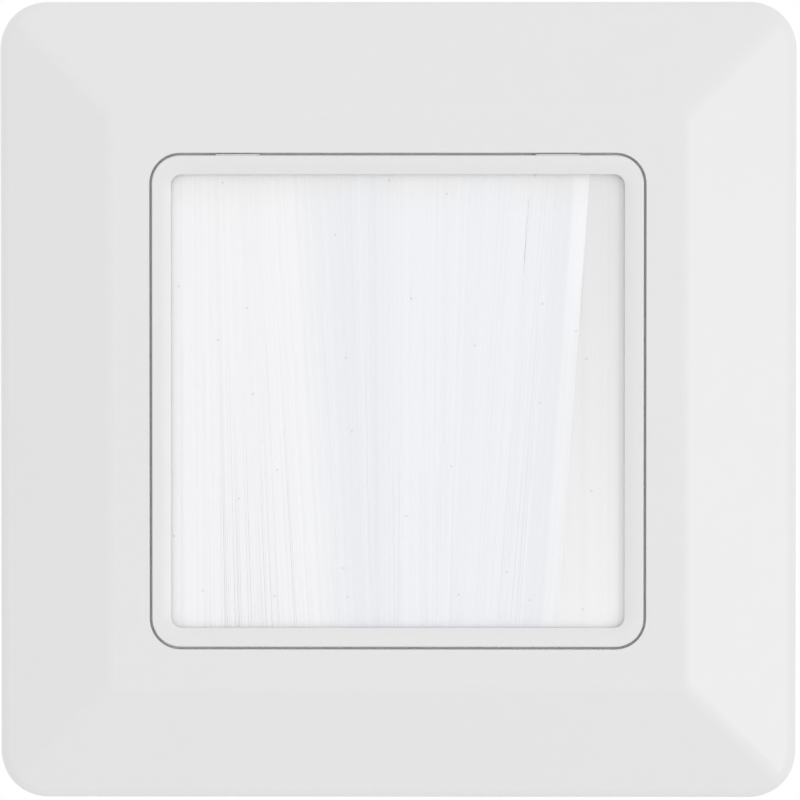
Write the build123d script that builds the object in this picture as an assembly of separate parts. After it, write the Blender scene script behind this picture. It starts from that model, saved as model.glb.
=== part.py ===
from build123d import *
import os
from math import hypot

# Brush wall plate for a flush wall box.
# X runs to the right and Z up as seen from the front. The front faces -Y.
# The origin is the centre of the plane where the plate meets the wall.
# A depth in this file is a distance in front of that plane, towards -Y. Units are millimetres.

# cover frame
FRAME_SIDE = 81.0
FRAME_CORNER = 4.8
FRAME_DEPTH = 9.6
FRAME_EDGE_HEIGHT = 4.8
FRAME_TOP_SIDE = 58.2
FRAME_WALL = 1.8
FRAME_HIP_ROUND = 3.0
FRAME_TOP_ROUND = 2.4
FRAME_EDGE_ROUND = 1.6
FRAME_MOUTH_ROUND = 0.08
FRAME_MOUTH = 50.1
FRAME_MOUTH_CORNER = 3.1
FRAME_LEDGE_OPENING = 47.6
FRAME_LEDGE_CORNER = 0.9
GAP_DEPTH = 0.9
NIB_WIDTH = 1.2
NIB_OFFSET = 27.0
NIB_BACK = 0.4
NIB_FRONT = 4.4
NIB_CLEARANCE = 0.2

# centre plate
PLATE_SIDE = 49.6
PLATE_CORNER = 2.85
PLATE_EDGE_ROUND = 0.15
PLATE_DIP_START = 0.2
PLATE_DIP_ROUND = 3.3
PLATE_DIP_CORNER = 0.3
WINDOW_SIDE = 45.8
WINDOW_CORNER = 1.1
SKIRT_SIDE = 47.2
SKIRT_CORNER = 0.7
SKIRT_WALL = 0.5
SKIRT_BACK = 7.6
TAB_OFFSET = 16.15
TAB_WIDTH = 4.45
LUG_SET_BACK = 0.3
LUG_CLEARANCE = 0.1
LEG_BACK = 2.0
HOOK_REACH = 0.7
HOOK_LENGTH = 1.6
HOOK_FLAT = 0.5

# brush carrier and brush retainer
HOLDER_SIDE = 54.4
HOLDER_CORNER = 1.6
HOLDER_OPENING = 47.8
HOLDER_OPENING_CORNER = 1.0
CARRIER_FRONT = 7.5
CARRIER_BACK = 4.2
POCKET_WALL = 0.8
RETAINER_FLOOR = 0.6
POCKET_PLAY = 0.05
SNAP_POCKET_DEPTH = 0.85
SNAP_POCKET_PLAY = 0.4
SNAP_POCKET_FRONT = 3.8

# brushes
BRUSH_LENGTH = 41.8
BRUSH_SHIFT = 1.73
BRISTLE_LENGTH = 46.95
BRISTLE_THICKNESS = 1.5
BRISTLE_SET_FORWARD = 2.3
BRISTLE_BEND_LENGTH = 1.5
BRISTLE_SPLAY = 0.35
CHANNEL_WIDTH = 2.4
CHANNEL_WALL = 0.4
CHANNEL_MOUTH = 1.2
CHANNEL_JAW = 0.5
CORE_WIRE_DIAMETER = 0.8

# support plate
SUPPORT_SIDE = 71.0
SUPPORT_CORNER = 3.0
SUPPORT_THICKNESS = 1.2
SUPPORT_OPENING = 48.6
SUPPORT_OPENING_CORNER = 1.6
BOX_SCREW_SPACING = 60.0
SLOT_WIDTH = 3.8
SIDE_SLOT_LENGTH = 9.0
KEYHOLE_DIAMETER = 6.6
KEYHOLE_OFFSET = 7.0
FREE_SLOT_LENGTH = 6.4
CORNER_HOLE_SPACING = 62.0
CORNER_HOLE_DIAMETER = 3.5
LIP_LENGTH = 40.0
LIP_HEIGHT = 1.8

# screws
CARRIER_SCREW_SPACING = 50.0
CARRIER_SCREW_DIAMETER = 2.0
CARRIER_SCREW_HEAD_DIAMETER = 3.5
CARRIER_SCREW_HEAD_HEIGHT = 1.1
CARRIER_SCREW_SINK = 1.2
CARRIER_SCREW_END = 0.1
CARRIER_HOLE_PLAY = 0.1
BOX_SCREW_DIAMETER = 3.2
BOX_SCREW_NECK_DIAMETER = 2.8
BOX_SCREW_HEAD_DIAMETER = 5.4
BOX_SCREW_HEAD_HEIGHT = 2.0
BOX_SCREW_LENGTH = 15.0
BOX_SCREW_TIP = 1.4

# share of a screw head's height or diameter
HEAD_DOME = 0.4
RECESS_DEPTH = 0.6
RECESS_WIDTH = 0.55
RECESS_BLADE = 0.15

# how far a cutter runs past the face that it opens, and how close two places count as one
PAST = 1.0
NEAR = 0.01


def depth_plane(depth):
    """A plane parallel to the wall. Its x is +X, its y is +Z and its normal points to the front."""
    return Plane(origin=(0, -depth, 0), x_dir=(1, 0, 0), z_dir=(0, -1, 0))


def raise_sketch(sketch, back, front):
    """Extrude a sketch, drawn as seen from the front, from one depth to another."""
    return extrude(depth_plane(back) * sketch, front - back)


def square_block(side, corner, back, front):
    return raise_sketch(RectangleRounded(side, side, corner), back, front)


def block(x_span, z_span, back, front):
    """A plain block between two X values, two Z values and two depths."""
    width = x_span[1] - x_span[0]
    height = z_span[1] - z_span[0]
    sketch = Pos((x_span[0] + x_span[1]) / 2, (z_span[0] + z_span[1]) / 2) * Rectangle(width, height)
    return raise_sketch(sketch, back, front)


def post(x, z, diameter, back, front):
    return raise_sketch(Pos(x, z) * Circle(diameter / 2), back, front)


def corner_points(spacing):
    half = spacing / 2
    return [(x, z) for x in (-half, half) for z in (-half, half)]


def pitched_block(side, corner, edge_height, top_side, height):
    """A rounded square block whose front is a smaller flat square with four sloped sides."""
    outline = Polyline(
        (-side / 2, 0),
        (-side / 2, edge_height),
        (-top_side / 2, height),
        (top_side / 2, height),
        (side / 2, edge_height),
        (side / 2, 0),
        close=True,
    )
    gable = Rot(180, 0, 0) * extrude(make_face(outline), side / 2, both=True)
    return square_block(side, corner, 0, height) & gable & (Rot(0, 90, 0) * gable)


def is_hip(edge):
    """True for a straight edge that runs aslant to all three axes."""
    if edge.geom_type != GeomType.LINE:
        return False
    direction = edge % 0.5
    return min(abs(direction.X), abs(direction.Y), abs(direction.Z)) > 0.1


def reach_of(edge):
    """How far the middle of an edge is from the plate's axis, measured along X or Z."""
    middle = edge @ 0.5
    return max(abs(middle.X), abs(middle.Z))


def edges_at_depth(solid, depth):
    """The edges that lie wholly in the plane at a depth."""
    found = []
    for edge in solid.edges():
        box = edge.bounding_box()
        if abs(box.min.Y + depth) < NEAR and abs(box.max.Y + depth) < NEAR:
            found.append(edge)
    return found


def opening_edges(solid, side, depth):
    """The edges round a square opening, in the plane at a depth."""
    return [edge for edge in edges_at_depth(solid, depth) if reach_of(edge) < side / 2 + NEAR]


def rim_edges(solid):
    """The loop where the frame's side walls meet its slopes, which climbs a little at each corner."""
    found = []
    for edge in solid.edges():
        in_front = -(edge @ 0.5).Y > FRAME_EDGE_HEIGHT - NEAR
        if in_front and reach_of(edge) > FRAME_SIDE / 2 - FRAME_CORNER:
            found.append(edge)
    return found


def make_outer_frame():
    shell = pitched_block(FRAME_SIDE, FRAME_CORNER, FRAME_EDGE_HEIGHT, FRAME_TOP_SIDE, FRAME_DEPTH)
    shell = fillet(shell.edges().filter_by(is_hip), FRAME_HIP_ROUND)
    shell = fillet(edges_at_depth(shell, FRAME_DEPTH), FRAME_TOP_ROUND)
    shell = fillet(rim_edges(shell), FRAME_EDGE_ROUND)

    # the hollow behind keeps one wall thickness all over, measured square to the slopes
    run = (FRAME_SIDE - FRAME_TOP_SIDE) / 2
    rise = FRAME_DEPTH - FRAME_EDGE_HEIGHT
    slope_drop = FRAME_WALL * hypot(run, rise) / run
    hollow_side = FRAME_SIDE - 2 * FRAME_WALL
    hollow_edge = FRAME_EDGE_HEIGHT - slope_drop + FRAME_WALL * rise / run
    hollow_height = FRAME_DEPTH - FRAME_WALL
    hollow_top = FRAME_TOP_SIDE + 2 * (slope_drop - FRAME_WALL) * run / rise
    hollow = pitched_block(
        hollow_side, FRAME_CORNER - FRAME_WALL, hollow_edge, hollow_top, hollow_height
    )
    shell -= hollow
    shell -= square_block(FRAME_MOUTH, FRAME_MOUTH_CORNER, FRAME_DEPTH - GAP_DEPTH, FRAME_DEPTH + PAST)
    shell -= square_block(FRAME_LEDGE_OPENING, FRAME_LEDGE_CORNER, 0, FRAME_DEPTH)
    shell = fillet(opening_edges(shell, FRAME_MOUTH, FRAME_DEPTH), FRAME_MOUTH_ROUND)

    # nibs inside the side walls centre the frame over the support plate
    inner = SUPPORT_SIDE / 2 + NIB_CLEARANCE
    outer = FRAME_SIDE / 2 - FRAME_WALL / 2
    for turn in range(4):
        for offset in (-NIB_OFFSET, NIB_OFFSET):
            z_span = (offset - NIB_WIDTH / 2, offset + NIB_WIDTH / 2)
            nib = block((inner, outer), z_span, NIB_BACK, NIB_FRONT)
            shell += Rot(0, 90 * turn, 0) * nib
    return shell


def dipped_ring(seat):
    """The plate's front. It dips towards the window in an arc, the top of a round that is cut short."""
    ring = square_block(PLATE_SIDE, PLATE_CORNER, seat - PLATE_DIP_ROUND, FRAME_DEPTH)
    ring = fillet(edges_at_depth(ring, FRAME_DEPTH), PLATE_EDGE_ROUND)
    foot_side = PLATE_SIDE - 2 * (PLATE_DIP_START + PLATE_DIP_ROUND)
    ring -= square_block(foot_side, PLATE_DIP_CORNER, 0, FRAME_DEPTH + PAST)
    ring = fillet(opening_edges(ring, foot_side, FRAME_DEPTH), PLATE_DIP_ROUND)
    ring -= square_block(PLATE_SIDE + PAST, PLATE_CORNER, 0, seat)
    return ring - square_block(WINDOW_SIDE, WINDOW_CORNER, 0, FRAME_DEPTH + PAST)


def make_centre_plate():
    seat = FRAME_DEPTH - GAP_DEPTH
    plate = dipped_ring(seat)

    # the skirt behind it is a thin wall, which leaves room for the bristles
    skirt_inside = SKIRT_SIDE - 2 * SKIRT_WALL
    skirt = square_block(SKIRT_SIDE, SKIRT_CORNER, SKIRT_BACK, seat)
    skirt -= square_block(skirt_inside, SKIRT_CORNER - SKIRT_WALL, 0, FRAME_DEPTH)
    plate += skirt

    # two lugs on the top edge nearly fill the gap and stop the plate from shifting
    for x in (-TAB_OFFSET, TAB_OFFSET):
        plate += block(
            (x - TAB_WIDTH / 2, x + TAB_WIDTH / 2),
            (PLATE_SIDE / 2 - PLATE_EDGE_ROUND, FRAME_MOUTH / 2 - LUG_CLEARANCE),
            seat,
            FRAME_DEPTH - LUG_SET_BACK,
        )

    # four snap legs run back beside the brushes and hook behind the front edge of the retainer
    inner = skirt_inside / 2
    outer = SKIRT_SIDE / 2
    hook = Polyline(
        (outer, LEG_BACK),
        (outer + HOOK_REACH, LEG_BACK + HOOK_LENGTH - HOOK_FLAT),
        (outer + HOOK_REACH, LEG_BACK + HOOK_LENGTH),
        (outer, LEG_BACK + HOOK_LENGTH),
        close=True,
    )
    hook_section = Rot(180, 0, 0) * make_face(hook)
    for x_sign in (-1, 1):
        for z in (-TAB_OFFSET, TAB_OFFSET):
            leg = block((inner, outer), (z - TAB_WIDTH / 2, z + TAB_WIDTH / 2), LEG_BACK, SKIRT_BACK)
            nose = Pos(0, 0, z) * extrude(hook_section, TAB_WIDTH / 2, both=True)
            side = leg + nose
            plate += side if x_sign > 0 else side.mirror(Plane.YZ)
    return plate


def holder_ring(back, front):
    """The square ring that the carrier and the retainer share, with their screw holes."""
    ring = square_block(HOLDER_SIDE, HOLDER_CORNER, back, front)
    ring -= square_block(HOLDER_OPENING, HOLDER_OPENING_CORNER, back - PAST, front + PAST)
    for x, z in corner_points(CARRIER_SCREW_SPACING):
        ring -= post(x, z, CARRIER_SCREW_DIAMETER + CARRIER_HOLE_PLAY, back - PAST, front + PAST)
    return ring


def brush_pocket(back, front):
    """The pocket for the front brush's channel. The rear one is the same, turned half a turn."""
    mouth = HOLDER_OPENING / 2
    half = BRUSH_LENGTH / 2 + POCKET_PLAY
    x_span = (-BRUSH_SHIFT - half, -BRUSH_SHIFT + half)
    z_span = (mouth - PAST, mouth + CHANNEL_WIDTH + POCKET_PLAY)
    return block(x_span, z_span, back, front)


def make_brush_carrier():
    carrier = holder_ring(CARRIER_BACK, CARRIER_FRONT)
    carrier -= brush_pocket(CARRIER_BACK - PAST, CARRIER_FRONT - POCKET_WALL)
    for x, z in corner_points(CARRIER_SCREW_SPACING):
        diameter = CARRIER_SCREW_HEAD_DIAMETER + CARRIER_HOLE_PLAY
        carrier -= post(x, z, diameter, CARRIER_FRONT - CARRIER_SCREW_SINK, CARRIER_FRONT + PAST)
    return carrier


def make_brush_retainer():
    retainer = holder_ring(SUPPORT_THICKNESS, CARRIER_BACK)
    pocket = brush_pocket(SUPPORT_THICKNESS + RETAINER_FLOOR, CARRIER_BACK + PAST)
    retainer -= Rot(0, 180, 0) * pocket
    inner = HOLDER_OPENING / 2
    for x_sign in (-1, 1):
        ends = sorted((x_sign * (inner - PAST), x_sign * (inner + SNAP_POCKET_DEPTH)))
        for z in (-TAB_OFFSET, TAB_OFFSET):
            half = TAB_WIDTH / 2 + SNAP_POCKET_PLAY
            retainer -= block(ends, (z - half, z + half), 0, SNAP_POCKET_FRONT)
    return retainer


def channel_outline(half_width, mouth_half_width):
    """A section across the brush channel, from the mouth at 0 up to the rounded back."""
    centre = CHANNEL_WIDTH / 2
    line = Polyline(
        (-half_width, centre),
        (-half_width, CHANNEL_JAW),
        (-mouth_half_width, 0),
        (mouth_half_width, 0),
        (half_width, CHANNEL_JAW),
        (half_width, centre),
    )
    back = ThreePointArc((half_width, centre), (0, centre + half_width), (-half_width, centre))
    return make_face(line + back)


def along_brush(section, splay=0):
    """Run a brush section, drawn with x as depth and y up from the channel's mouth, along the brush."""
    run = Plane(origin=(0, 0, 0), x_dir=(0, -1, 0), z_dir=(-1, 0, 0))
    return extrude(run * section, BRUSH_LENGTH / 2 + splay, both=True)


def hanging_outline(low, high, low_below, high_below):
    """The bristles below the mouth: from one span at height 0 to another below the bend."""
    return Polygon(
        (low, 0),
        (low_below, -BRISTLE_BEND_LENGTH),
        (low_below, -BRISTLE_LENGTH),
        (high_below, -BRISTLE_LENGTH),
        (high_below, -BRISTLE_BEND_LENGTH),
        (high, 0),
        align=None,
    )


def make_brush():
    """One brush with the channel's mouth at height 0. The bristles bend forward and hang below it."""
    inner_half = CHANNEL_WIDTH / 2 - CHANNEL_WALL
    mouth_half = CHANNEL_MOUTH / 2
    hollow = channel_outline(inner_half, mouth_half)
    outside = channel_outline(CHANNEL_WIDTH / 2, mouth_half + CHANNEL_WALL)
    wire = Pos(0, CHANNEL_WIDTH / 2) * Circle(CORE_WIRE_DIAMETER / 2)

    # seen from the side the bristles bend forward and get thicker, and from the front they splay
    front = BRISTLE_SET_FORWARD + BRISTLE_THICKNESS / 2
    back = BRISTLE_SET_FORWARD - BRISTLE_THICKNESS / 2
    half = BRUSH_LENGTH / 2
    wide = half + BRISTLE_SPLAY
    from_side = along_brush(hanging_outline(-mouth_half, mouth_half, back, front), BRISTLE_SPLAY)
    from_front = raise_sketch(hanging_outline(-half, half, -wide, wide), -mouth_half - PAST, front + PAST)
    return {
        "channel": along_brush(outside - hollow),
        "core_wire": along_brush(wire),
        "bristles": along_brush(hollow - wire) + (from_side & from_front),
    }


def make_support_plate():
    plate = square_block(SUPPORT_SIDE, SUPPORT_CORNER, 0, SUPPORT_THICKNESS)
    half = SUPPORT_SIDE / 2
    lip = block(
        (half - SUPPORT_THICKNESS, half),
        (-LIP_LENGTH / 2, LIP_LENGTH / 2),
        SUPPORT_THICKNESS,
        SUPPORT_THICKNESS + LIP_HEIGHT,
    )
    plate += lip + lip.mirror(Plane.YZ)
    plate -= square_block(SUPPORT_OPENING, SUPPORT_OPENING_CORNER, -PAST, SUPPORT_THICKNESS + PAST)

    # the side slots take the box screws and end in keyholes, and two more suit a box turned a quarter
    cutter = Sketch()
    reach = BOX_SCREW_SPACING / 2
    for sign in (-1, 1):
        side_slot = SlotOverall(SIDE_SLOT_LENGTH, SLOT_WIDTH, rotation=90)
        entry = Pos(0, -KEYHOLE_OFFSET) * Circle(KEYHOLE_DIAMETER / 2)
        neck = Pos(0, -KEYHOLE_OFFSET / 2) * Rectangle(SLOT_WIDTH, KEYHOLE_OFFSET)
        keyed = side_slot + entry + neck
        cutter += Pos(sign * reach, 0) * (keyed if sign > 0 else Rot(0, 0, 180) * keyed)
        cutter += Pos(0, sign * reach) * SlotOverall(FREE_SLOT_LENGTH, SLOT_WIDTH, rotation=90)
    for x, z in corner_points(CORNER_HOLE_SPACING):
        cutter += Pos(x, z) * Circle(CORNER_HOLE_DIAMETER / 2)
    for x, z in corner_points(CARRIER_SCREW_SPACING):
        cutter += Pos(x, z) * Circle(CARRIER_SCREW_DIAMETER / 2)
    return plate - raise_sketch(cutter, -PAST, SUPPORT_THICKNESS + PAST)


def pan_head(diameter, height, seat):
    """A domed screw head with a cross recess, its underside at the seat's depth."""
    top = seat + height
    head = post(0, 0, diameter, seat, top)
    head = fillet(edges_at_depth(head, top), height * HEAD_DOME)
    width = diameter * RECESS_WIDTH
    blade = diameter * RECESS_BLADE
    arms = Rectangle(width, blade) + Rectangle(blade, width)
    return head - raise_sketch(arms, top - height * RECESS_DEPTH, top + PAST)


def make_carrier_screw(x, z):
    seat = CARRIER_FRONT - CARRIER_SCREW_SINK
    head = pan_head(CARRIER_SCREW_HEAD_DIAMETER, CARRIER_SCREW_HEAD_HEIGHT, seat)
    shank = post(0, 0, CARRIER_SCREW_DIAMETER, CARRIER_SCREW_END, seat)
    return Pos(x, 0, z) * (head + shank)


def make_box_screw(x):
    end = SUPPORT_THICKNESS - BOX_SCREW_LENGTH
    head = pan_head(BOX_SCREW_HEAD_DIAMETER, BOX_SCREW_HEAD_HEIGHT, SUPPORT_THICKNESS)
    neck = post(0, 0, BOX_SCREW_NECK_DIAMETER, 0, SUPPORT_THICKNESS)
    thread = post(0, 0, BOX_SCREW_DIAMETER, end, 0)
    thread = chamfer(edges_at_depth(thread, end), BOX_SCREW_TIP, BOX_SCREW_DIAMETER / 4)
    return Pos(x, 0, 0) * (head + neck + thread)


def make_parts():
    parts = {
        "outer_frame": make_outer_frame(),
        "centre_plate": make_centre_plate(),
        "brush_carrier": make_brush_carrier(),
        "brush_retainer": make_brush_retainer(),
        "support_plate": make_support_plate(),
    }

    # both brushes are the same part: the front one hangs from the top, the rear one stands below
    mouth = HOLDER_OPENING / 2
    half_channel = CHANNEL_WIDTH / 2
    front_depth = CARRIER_FRONT - POCKET_WALL - half_channel
    rear_depth = SUPPORT_THICKNESS + RETAINER_FLOOR + half_channel
    for name, solid in make_brush().items():
        parts[f"front_brush_{name}"] = Pos(-BRUSH_SHIFT, -front_depth, mouth) * solid
        parts[f"rear_brush_{name}"] = Rot(0, 180, 0) * Pos(-BRUSH_SHIFT, -rear_depth, mouth) * solid

    reach = CARRIER_SCREW_SPACING / 2
    for side, x_sign in {"left": -1, "right": 1}.items():
        parts[f"box_screw_{side}"] = make_box_screw(x_sign * BOX_SCREW_SPACING / 2)
        for level, z_sign in {"bottom": -1, "top": 1}.items():
            parts[f"carrier_screw_{level}_{side}"] = make_carrier_screw(x_sign * reach, z_sign * reach)
    return parts


os.makedirs("parts", exist_ok=True)
for node, solid in make_parts().items():
    export_step(solid, f"parts/{node}.step")
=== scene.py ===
"""Visual model of a brush wall plate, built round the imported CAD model.

The moulded, pressed and turned pieces keep their CAD meshes and get their finishes here. The two
brushes get real filaments and the box screws real threads, both grown by geometry node trees.
Sizes in the classes are millimetres and degrees. Blender's own units are metres.
"""

import logging
import math
from dataclasses import dataclass
from enum import Enum
from typing import Any, Iterable

import bmesh
import bpy
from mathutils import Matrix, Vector


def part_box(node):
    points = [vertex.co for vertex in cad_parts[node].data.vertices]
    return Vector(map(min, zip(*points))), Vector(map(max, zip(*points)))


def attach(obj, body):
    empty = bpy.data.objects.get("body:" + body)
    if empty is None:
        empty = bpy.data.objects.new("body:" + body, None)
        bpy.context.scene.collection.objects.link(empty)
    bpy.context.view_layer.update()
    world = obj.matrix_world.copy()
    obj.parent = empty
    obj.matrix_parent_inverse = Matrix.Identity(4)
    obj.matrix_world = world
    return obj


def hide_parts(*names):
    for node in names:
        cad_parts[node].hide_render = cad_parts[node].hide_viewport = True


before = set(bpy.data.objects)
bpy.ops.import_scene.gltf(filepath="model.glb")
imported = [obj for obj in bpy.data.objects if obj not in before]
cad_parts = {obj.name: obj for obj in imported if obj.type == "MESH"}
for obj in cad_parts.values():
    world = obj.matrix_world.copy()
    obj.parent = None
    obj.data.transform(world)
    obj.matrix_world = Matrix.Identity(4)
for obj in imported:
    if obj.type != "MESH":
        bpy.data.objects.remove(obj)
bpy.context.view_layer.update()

MM = 0.001
BODY = "root"
log = logging.getLogger("brush_wall_plate")

Colour = tuple[float, float, float]
Span = tuple[float, float]


# Node trees


class Wire:
    """A node socket inside an expression. Arithmetic on it adds Math nodes to its tree."""

    def __init__(self, tree: "Tree", socket: bpy.types.NodeSocket) -> None:
        """Hold the socket and the tree that it belongs to."""
        self.tree = tree
        self.socket = socket

    def __add__(self, other: "Wire | float") -> "Wire":
        """Sum of this and another value."""
        return self.tree.math("ADD", self, other)

    __radd__ = __add__

    def __sub__(self, other: "Wire | float") -> "Wire":
        """Difference of this and another value."""
        return self.tree.math("SUBTRACT", self, other)

    def __rsub__(self, other: "Wire | float") -> "Wire":
        """Difference of another value and this."""
        return self.tree.math("SUBTRACT", other, self)

    def __mul__(self, other: "Wire | float") -> "Wire":
        """Product of this and another value."""
        return self.tree.math("MULTIPLY", self, other)

    __rmul__ = __mul__

    def __truediv__(self, other: "Wire | float") -> "Wire":
        """Quotient of this and another value."""
        return self.tree.math("DIVIDE", self, other)

    def __rtruediv__(self, other: "Wire | float") -> "Wire":
        """Quotient of another value and this."""
        return self.tree.math("DIVIDE", other, self)

    def __pow__(self, power: "Wire | float") -> "Wire":
        """This value raised to a power."""
        return self.tree.math("POWER", self, power)

    def __rpow__(self, base: "Wire | float") -> "Wire":
        """Another value raised to this."""
        return self.tree.math("POWER", base, self)

    def __neg__(self) -> "Wire":
        """This value with its sign turned."""
        return self.tree.math("SUBTRACT", 0.0, self)

    def __abs__(self) -> "Wire":
        """This value without its sign."""
        return self.tree.math("ABSOLUTE", self)

    def __mod__(self, other: "Wire | float") -> "Wire":
        """What is left when this is divided by another value."""
        return self.tree.math("MODULO", self, other)

    def __rmod__(self, other: "Wire | float") -> "Wire":
        """What is left when another value is divided by this."""
        return self.tree.math("MODULO", other, self)

    def highest(self, other: "Wire | float") -> "Wire":
        """The higher of this and another value."""
        return self.tree.math("MAXIMUM", self, other)

    def ramp(self, start: float, end: float) -> "Wire":
        """A smooth step from 0 at start to 1 at end."""
        sockets = {"Value": self, "From Min": start, "From Max": end, "To Min": 0.0, "To Max": 1.0}
        return self.tree.node("ShaderNodeMapRange", {"interpolation_type": "SMOOTHSTEP"}, sockets)["Result"]


class Knot:
    """A node whose shown outputs are read by name or by place."""

    def __init__(self, tree: "Tree", node: bpy.types.Node) -> None:
        """Hold the node and its tree."""
        self.tree = tree
        self.node = node

    def __getitem__(self, key: str | int) -> Wire:
        """The shown output of that name or place."""
        return Wire(self.tree, Tree.shown(self.node.outputs, key))


class Tree:
    """A node tree that is written as expressions."""

    def __init__(self, node_tree: bpy.types.NodeTree) -> None:
        """Wrap a node tree."""
        self.node_tree = node_tree

    @staticmethod
    def shown(sockets: Iterable[bpy.types.NodeSocket], key: str | int) -> bpy.types.NodeSocket:
        """Find a socket among those that the node's settings leave shown.

        Args:
            sockets: a node's inputs or outputs.
            key: the socket's name, or its place among the shown ones.

        Returns:
            The socket.
        """
        usable = [socket for socket in sockets if socket.enabled]
        if isinstance(key, int):
            return usable[key]
        return next(socket for socket in usable if socket.name == key)

    def node(self, kind: str, settings: dict[str, Any], sockets: dict[str | int, Any]) -> Knot:
        """Add a node.

        Args:
            kind: the node's type.
            settings: its properties, set first.
            sockets: the value or the wire of each input, by name or place.

        Returns:
            The node, ready to be read from.
        """
        node = self.node_tree.nodes.new(kind)
        for name, value in settings.items():
            setattr(node, name, value)
        for key, value in sockets.items():
            self.feed(self.shown(node.inputs, key), value)
        return Knot(self, node)

    def feed(self, socket: bpy.types.NodeSocket, value: Any) -> None:
        """Link a wire to an input, or set the input to a value."""
        if isinstance(value, Wire):
            self.node_tree.links.new(value.socket, socket)
        else:
            socket.default_value = value

    def math(self, operation: str, *values: Wire | float) -> Wire:
        """Add a Math node and return its result."""
        return self.node("ShaderNodeMath", {"operation": operation}, dict(enumerate(values)))["Value"]

    def vector(self, x: Wire | float, y: Wire | float, z: Wire | float) -> Wire:
        """Join three values into a vector."""
        return self.node("ShaderNodeCombineXYZ", {}, {"X": x, "Y": y, "Z": z})["Vector"]

    def split(self, vector: Wire) -> tuple[Wire, Wire, Wire]:
        """The three values of a vector."""
        parts = self.node("ShaderNodeSeparateXYZ", {}, {"Vector": vector})
        return parts["X"], parts["Y"], parts["Z"]

    def noise(self, place: Wire, scale: float, detail: float = 2.0) -> Wire:
        """Noise from 0 to 1 at a place.

        Args:
            place: the vector that it is read at.
            scale: features per unit of that vector.
            detail: how many finer layers are added.

        Returns:
            The noise value.
        """
        sockets = {"Vector": place, "Scale": scale, "Detail": detail}
        return self.node("ShaderNodeTexNoise", {}, sockets)[0]

    def blend(self, low: Colour, high: Colour, share: Wire) -> Wire:
        """Mix two colours by a share."""
        settings = {"data_type": "RGBA", "clamp_factor": True}
        sockets = {"Factor": share, "A": (*low, 1.0), "B": (*high, 1.0)}
        return self.node("ShaderNodeMix", settings, sockets)["Result"]


class Surface(Tree):
    """A material's tree, with its Principled shader already in place."""

    def __init__(self, name: str) -> None:
        """Make the material.

        Args:
            name: the material's name.
        """
        self.material = bpy.data.materials.new(name)
        self.material.use_nodes = True
        super().__init__(self.material.node_tree)
        self.shader = self.node_tree.nodes["Principled BSDF"]

    def place(self, stretch: tuple[float, float, float] = (1.0, 1.0, 1.0)) -> Wire:
        """The object's own coordinates, in metres, stretched along each axis."""
        place = self.node("ShaderNodeTexCoord", {}, {})["Object"]
        return self.node("ShaderNodeMapping", {}, {"Vector": place, "Scale": stretch})["Vector"]

    def attribute(self, name: str) -> Wire:
        """A value that the mesh carries."""
        return self.node("ShaderNodeAttribute", {"attribute_name": name}, {})["Fac"]

    def bump(self, height: Wire, distance: float, strength: float) -> Wire:
        """A normal from a height map.

        Args:
            height: the map, from 0 to 1.
            distance: the depth that 1 stands for, in millimetres.
            strength: how much of it is used.

        Returns:
            The normal.
        """
        sockets = {"Height": height, "Distance": distance * MM, "Strength": strength}
        return self.node("ShaderNodeBump", {}, sockets)["Normal"]

    def set(self, **sockets: Any) -> bpy.types.Material:
        """Feed the Principled shader and return the material.

        Args:
            **sockets: the shader's inputs, with underscores for spaces.

        Returns:
            The finished material.
        """
        for name, value in sockets.items():
            self.feed(self.shader.inputs[name.replace("_", " ")], value)
        return self.material


class SizeKind(Enum):
    """The kinds of input that a grown piece's tree can have."""

    COUNT = "NodeSocketInt"
    NUMBER = "NodeSocketFloat"
    PLACE = "NodeSocketVector"
    FINISH = "NodeSocketMaterial"
    SHAPE = "NodeSocketGeometry"


@dataclass(frozen=True)
class Size:
    """One named input of a grown piece's tree.

    Attributes:
        kind: what kind of input it is.
        value: the piece's own value, in metres and radians where it is a length or an angle.
    """

    kind: SizeKind
    value: Any


def count(value: int) -> Size:
    """A whole number."""
    return Size(SizeKind.COUNT, value)


def number(value: float) -> Size:
    """A plain number."""
    return Size(SizeKind.NUMBER, value)


def length(value: float) -> Size:
    """A length, given in millimetres."""
    return Size(SizeKind.NUMBER, value * MM)


def angle(value: float) -> Size:
    """An angle, given in degrees."""
    return Size(SizeKind.NUMBER, math.radians(value))


def triple(x: float, y: float, z: float) -> Size:
    """Three values, given in metres or radians."""
    return Size(SizeKind.PLACE, (x, y, z))


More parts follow.
